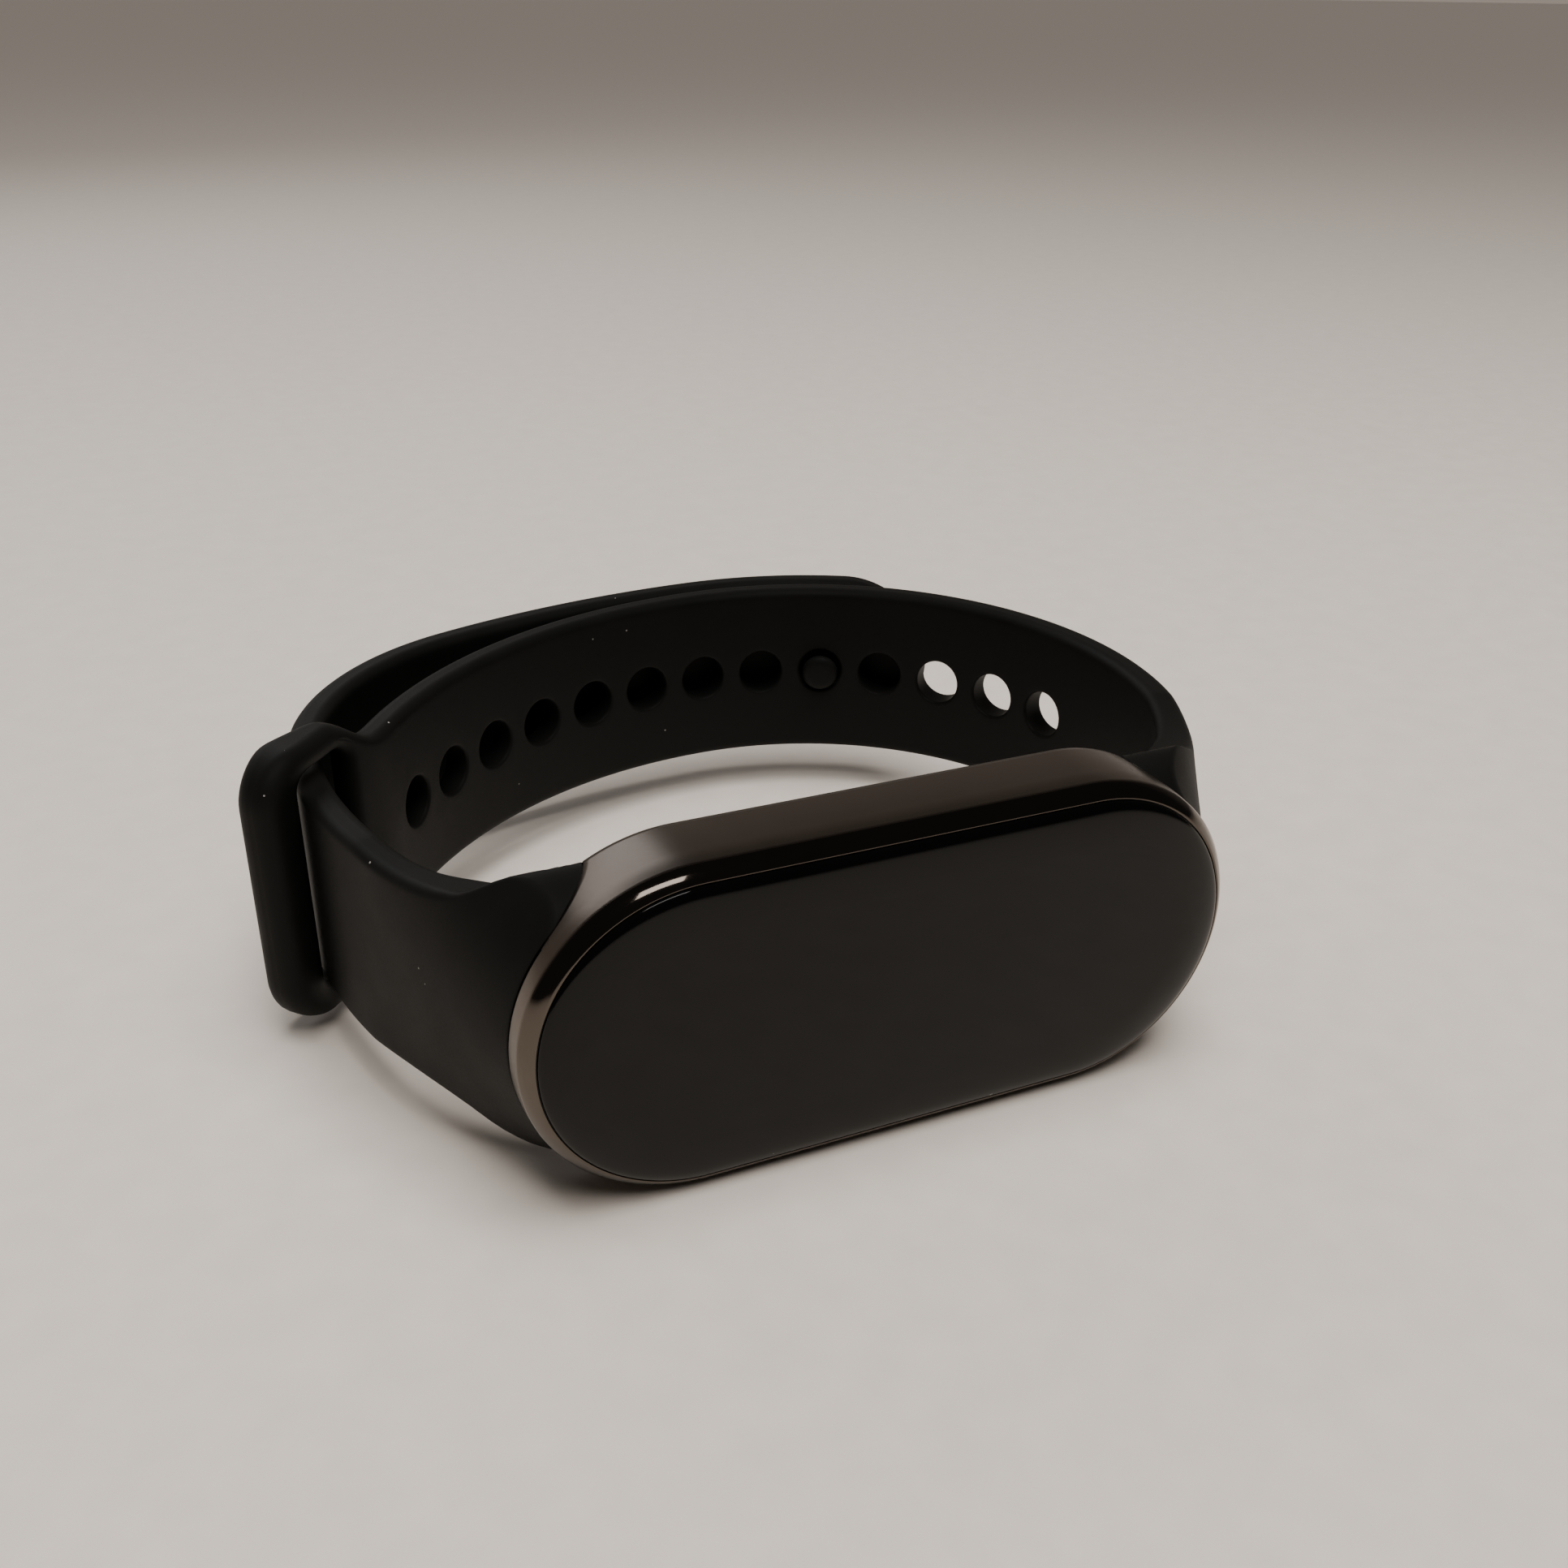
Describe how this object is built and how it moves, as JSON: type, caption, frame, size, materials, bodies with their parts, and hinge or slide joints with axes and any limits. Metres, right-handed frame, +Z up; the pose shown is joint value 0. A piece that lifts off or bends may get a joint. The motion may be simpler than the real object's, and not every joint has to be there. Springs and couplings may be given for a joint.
{
  "type": "fitness tracker band",
  "caption": "Pill-shaped wrist fitness tracker in a dark metal frame, on a soft strap with adjustment holes, a loop and a stud clasp, fastened into a ring.",
  "frame": {"origin": "middle of the straight side of the tracker body, on the surface that the band lies on", "axes": "+X along the display, +Y from the display to the clasp, +Z up, across the strap"},
  "size_m": [0.0672, 0.0542, 0.0225],
  "materials": {
    "frame_metal": "polished dark gunmetal coating",
    "cover_glass": "polished, black print behind",
    "strap_rubber": "matte",
    "clasp_metal": "satin dark",
    "back_plastic": "fine satin",
    "window_glass": "polished dark",
    "gold_contact": "bright",
    "clip_plastic": "satin",
    "spring_steel": "bright",
    "screw_steel": "bright",
    "circuit_board": "satin solder mask",
    "chip_plastic": "matte",
    "shield_metal": "tinned",
    "battery_foil": "satin foil",
    "adhesive": "matte",
    "tape": "matte",
    "flex_film": "satin film",
    "display_stack": "dark gloss",
    "carrier_plastic": "satin",
    "antenna_copper": "satin",
    "motor_metal": "bright",
    "weight_tungsten": "sintered",
    "led_lens": "clear green",
    "photodiode": "dark clear",
    "barrier_foam": "matte",
    "seal_rubber": "matte",
    "sensor_clear": "clear"
  },
  "bodies": {
    "tracker": {"frame": "frame_metal", "cover_glass": "cover_glass", "glass_adhesive": "adhesive", "display_panel": "display_stack", "display_flex": "flex_film", "inner_carrier": "carrier_plastic", "carrier_screws": "screw_steel", "antenna": "antenna_copper", "main_board": "circuit_board", "board_chips": "chip_plastic", "shield_can": "shield_metal", "board_connectors": "chip_plastic", "light_sensor": "sensor_clear", "battery": "battery_foil", "battery_tape": "tape", "motor_case": "motor_metal", "sensor_board": "circuit_board", "sensor_leds": "led_lens", "sensor_photodiodes": "photodiode", "light_barrier": "barrier_foam", "sensor_window": "window_glass", "window_adhesive": "adhesive", "charge_contacts": "gold_contact", "contact_seals": "seal_rubber", "back_seal": "seal_rubber", "back_cover": "back_plastic", "clip_right": "clip_plastic", "latch_spring_right": "spring_steel", "clip_left": "clip_plastic", "latch_spring_left": "spring_steel", "hole_strap": "strap_rubber", "stud_strap": "strap_rubber"},
    "tail": {"strap_tail": "strap_rubber", "stud_cap": "clasp_metal", "stud_post": "clasp_metal"},
    "latch_right": {"latch_right": "clip_plastic"},
    "latch_left": {"latch_left": "clip_plastic"},
    "motor_rotor": {"motor_rotor": "weight_tungsten"}
  },
  "joints": [
    {"name": "tail_peel", "type": "hinge", "parent": "tracker", "child": "tail", "pos_m": [0.0055, 0.0497, 0.01125], "axis": [0, 0, 1], "range_deg": [0, 50], "stiffness_Nm_per_rad": 0.004},
    {"name": "release_right", "type": "slide", "parent": "tracker", "child": "latch_right", "axis": [0, -1, 0], "range_m": [0, 0.0006], "stiffness_N_per_m": 200, "springref_m": -0.0002, "deforming": ["latch_spring_right"]},
    {"name": "release_left", "type": "slide", "parent": "tracker", "child": "latch_left", "axis": [0, -1, 0], "range_m": [0, 0.0006], "stiffness_N_per_m": 200, "springref_m": -0.0002, "deforming": ["latch_spring_left"]},
    {"name": "motor_spin", "type": "hinge", "parent": "tracker", "child": "motor_rotor", "pos_m": [0.005, 0.0018, 0.01445], "axis": [1, 0, 0], "continuous": true}
  ]
}
